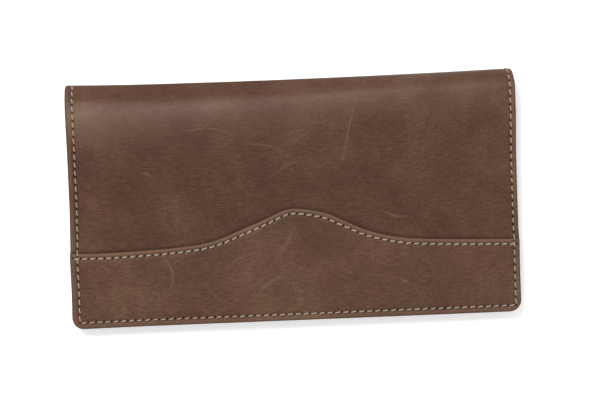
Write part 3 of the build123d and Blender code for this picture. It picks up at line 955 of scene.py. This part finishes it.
leather_front = slab("leather_front", on("front"), cover_outline("front", 0.0), 0.0, COVER + 0.12,
                     fine=[s.path for s in front_seams] + [line for line, *_ in crease_lines],
                     relief=front_relief, roll=0.7, open_edge=0.0, materials=(cover_leather, painted))
leather_back = slab("leather_back", on("back"), cover_outline("back", 0.0), 0.0, COVER + 0.12,
                    fine=[s.path for s in back_seams], relief=back_relief, roll=0.7, open_edge=0.0,
                    materials=(cover_leather, painted), uv_shift=(400, 300))
yoke = slab("yoke_leather", on("front"), cover_outline("front", 0.0, inset=-0.1, wave=wave_line),
            -YOKE, 0.12, fine=[s.path for s in front_seams] + [wave_seam.path, wave_line]
            + [line for line, *_ in crease_lines], relief=yoke_relief, roll=0.75,
            materials=(yoke_leather, painted), uv_shift=(150, -260))
blend_over_bend(leather_front, "front")
blend_over_bend(leather_back, "back")
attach(yoke, "front_cover")
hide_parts("cover_front")
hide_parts("cover_back", "cover_spine")
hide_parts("yoke")

stitches_front = stitches("stitches_front", front_seams + front_inner, beige_thread, 5)
stitches_back = stitches("stitches_back", back_seams + back_inner, beige_thread, 6)
stitches_yoke = stitches("stitches_yoke", [wave_seam], beige_thread, 7)
blend_over_bend(stitches_front, "front")
blend_over_bend(stitches_back, "back")
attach(stitches_yoke, "front_cover")
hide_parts("thread_front")
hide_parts("thread_back", "thread_spine")
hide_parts("thread_yoke")

# ---- inside: layers ----
LAYER_INSET = 0.12       # how far the inner layers stay inside the covers' edges
CLOTH_INSET = 0.08
CLOTH_THICK = 0.32
BOARD_INSET = 3.8


def inner_slab(name, side, top, face, thick, room, material, seams, seed, soft=1.0):
    """A full-width layer of a cover below a straight mouth."""
    outline = cover_outline(side, top, inset=LAYER_INSET)
    piece = slab(name, inside_layer(side, room), outline, face, face - thick, step=1.1,
                 fine=[seam.path for seam in seams], relief=inner_relief(seams, top, seed, soft),
                 materials=(material, painted), uv_shift=(seed * 7, seed * 5))
    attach(piece, side + "_cover")
    return piece


for side, nodes in (("front", ("lining_front", "lining_spine")), ("back", ("lining_back",))):
    inner = front_inner if side == "front" else back_inner
    cloth = slab("cloth_" + side, inside_layer(side), cover_outline(side, 0.0, inset=CLOTH_INSET),
                 LINED, LINED - CLOTH_THICK, step=1.4, relief=inner_relief(inner, None, 81, 0.4), roll=0.12,
                 open_edge=0.0, materials=(lining_cloth,), uv_shift=(30, 600))
    blend_over_bend(cloth, side)
    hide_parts(*nodes)
    board_outline = cover_outline(side, -TANGENT - 0.6, inset=BOARD_INSET)
    stiffener = slab("stiffener_" + side, inside_layer(side), board_outline, 1.54, 1.36, step=3.0, roll=0.05,
                     materials=(fibre_board,), uv_shift=(90, 900))
    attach(stiffener, side + "_cover")
    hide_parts("board_" + side)

for seed, (name, (mouth, face, room, thick)) in enumerate(BACK_LAYERS.items(), 90):
    seams = {"note_pocket": [note_seam], "slip_pocket": [slip_seam]}.get(name, []) + back_inner
    cloth = name == "note_divider"
    piece = inner_slab(name + "_made", "back", -TANGENT - mouth - 0.01, face, thick - 0.04, room,
                       lining_cloth if cloth else pocket_leather, seams, seed, soft=0.5 if cloth else 1.0)
    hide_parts(name)

backing = inner_slab("card_backing_made", "front", -TANGENT - BACKING_MOUTH, BACKING_FACE, 0.56, BACKING_ROOM,
                     pocket_leather, front_inner + column_seams, 95)
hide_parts("card_backing")


def tier_outline(index, hand):
    """A card tier's outline: hand is -1 for the left column and 1 for the right one."""
    near, far = sorted((hand * COLUMN[0], hand * COLUMN[1]))
    top = tier_mouth(index)
    bottom = top - TIER_LENGTH + 0.3
    corner = CORNER - 0.4 if index == TIERS - 1 else 0.6
    turns = np.linspace(0, math.pi / 2, 9)
    left, right = (corner, 0.4) if hand < 0 else (0.4, corner)
    low_left = np.stack([near + left * (1 - np.cos(turns)), bottom + left * (1 - np.sin(turns))], 1)
    low_right = np.stack([far - right * (1 - np.sin(turns)), bottom + right * (1 - np.cos(turns))], 1)
    return along(np.vstack([[(near, top)], low_left, low_right, [(far, top), (near, top)]]), 0.6)[:-1]


def rounded_loop(middle, size, radius):
    """A rectangle with rounded corners, as a closed loop of points."""
    corners = []
    for turn, (a, b) in enumerate(((1, 1), (-1, 1), (-1, -1), (1, -1))):
        angles = np.linspace(0, math.pi / 2, 10) + turn * math.pi / 2
        corner = np.array([a * (size[0] / 2 - radius), b * (size[1] / 2 - radius)]) + middle
        corners.append(corner + radius * np.stack([np.cos(angles), np.sin(angles)], 1))
    loop = np.vstack(corners + [corners[0][:1]])
    return along(loop, OUTLINE_STEP)[:-1]


window_middle = np.array([sum(COLUMN) / 2, tier_mouth(TIERS - 1) - WINDOW_DROP - WINDOW[1] / 2])


def cut_window(panel):
    """Cuts the identity window out of the last card tier."""
    loop = rounded_loop(window_middle, WINDOW, WINDOW_RADIUS)
    place_tier = on_tier(TIERS - 1)
    rings = [place_tier(loop[:, 0], loop[:, 1], height) for height in (-1.0, 1.6)]
    count = len(loop)
    sides = [(k, (k + 1) % count, count + (k + 1) % count, count + k) for k in range(count)]
    caps = [tuple(range(count)), tuple(range(count, 2 * count))]
    cutter = make_piece("cutter", np.vstack(rings), sides + caps, [painted])
    cut = panel.modifiers.new("window", "BOOLEAN")
    cut.operation, cut.object, cut.solver = "DIFFERENCE", cutter, "EXACT"
    cut.material_mode = "TRANSFER"
    bpy.context.view_layer.update()
    result = bpy.data.meshes.new_from_object(panel.evaluated_get(bpy.context.evaluated_depsgraph_get()))
    panel.modifiers.clear()
    panel.data = result
    bpy.data.objects.remove(cutter)


for hand, column in ((-1, "left"), (1, "right")):
    for index in range(TIERS):
        window = hand == 1 and index == TIERS - 1
        node = "id_window_panel" if window else f"card_{column}_{index + 1}"
        last_tier = index == TIERS - 1
        close = [seam for seam in column_seams if seam.path[0, 0] * hand > 0]
        close += [front_inner[0] if hand < 0 else front_inner[2]] + ([front_inner[1]] if last_tier else [])
        piece = slab(node + "_made", on_tier(index), tier_outline(index, hand), TIER, 0.05, step=1.0,
                     fine=[seam.path for seam in close] if last_tier else [], fine_width=1.2,
                     relief=inner_relief(close, tier_mouth(index), 100 + 10 * index + hand),
                     materials=(pocket_leather, painted), uv_shift=(index * 97 + hand * 31, index * 53))
        if window:
            cut_window(piece)
        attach(piece, "front_cover")
        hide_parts(node)

film_size = (WINDOW[0] + 2 * FILM_BORDER, WINDOW[1] + 2 * FILM_BORDER)
film_outline = rounded_loop(window_middle, film_size, FILM_RADIUS)
film = slab("window_film_made", on_tier(TIERS - 1), film_outline, 0.03, -0.12, step=2.0,
            relief=lambda u, w: (0.03 * noise(u, w, 15, 130), {}), roll=0.05, materials=(clear_film,))
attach(film, "front_cover")
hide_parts("id_window_film")

for name, seams, node in (("stitches_note_mouth", [note_seam], "thread_note_mouth"),
                          ("stitches_slip_mouth", [slip_seam], "thread_slip_mouth"),
                          ("stitches_columns", column_seams, "thread_card_centre")):
    piece = stitches(name, seams, beige_thread, 8)
    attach(piece, "front_cover" if name == "stitches_columns" else "back_cover")
    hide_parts(node)

# ---- stage, light and camera ----
FLOOR_SIZE = 3.0
FLOOR_LOOK = {"Base Color": (0.9, 0.9, 0.9, 1), "Roughness": 0.9, "Emission Color": (1, 1, 1, 1),
              "Emission Strength": 0.32}
bpy.ops.mesh.primitive_plane_add(size=FLOOR_SIZE, location=(0, 0, 0))
floor = bpy.context.object
floor.name = "floor"
floor_material = bpy.data.materials.new("floor")
floor_material.use_nodes = True
for socket, value in FLOOR_LOOK.items():
    floor_material.node_tree.nodes["Principled BSDF"].inputs[socket].default_value = value
floor.data.materials.append(floor_material)


def soft_light(name, position, size, power):
    """A square area light aimed at the wallet."""
    data = bpy.data.lights.new(name, "AREA")
    data.size = size
    data.energy = power
    lamp = bpy.data.objects.new(name, data)
    lamp.location = position
    lamp.rotation_euler = Vector(position).to_track_quat("Z", "Y").to_euler()
    bpy.context.scene.collection.objects.link(lamp)


soft_light("key", (-0.28, 0.52, 1.30), 0.40, 14.0)
soft_light("fill", (0.5, -0.6, 1.4), 1.2, 4.0)
SURROUND = 0.62          # strength of the white room around the wallet
world = bpy.data.worlds.new("studio")
world.use_nodes = True
background = world.node_tree.nodes["Background"]
background.inputs["Color"].default_value = (1, 1, 1, 1)
background.inputs["Strength"].default_value = SURROUND
bpy.context.scene.world = world
bpy.context.scene.view_settings.view_transform = "Standard"

CAMERA_PLACE = (0.00153, -0.00051, 1.1)
CAMERA_TURN = (-0.036, -0.083, -2.224)      # degrees
camera_data = bpy.data.cameras.new("camera")
camera_data.sensor_width = 36.0
camera_data.lens = 163.1
camera = bpy.data.objects.new("camera", camera_data)
camera.location = CAMERA_PLACE
camera.rotation_euler = tuple(math.radians(angle) for angle in CAMERA_TURN)
bpy.context.scene.collection.objects.link(camera)
bpy.context.scene.camera = camera
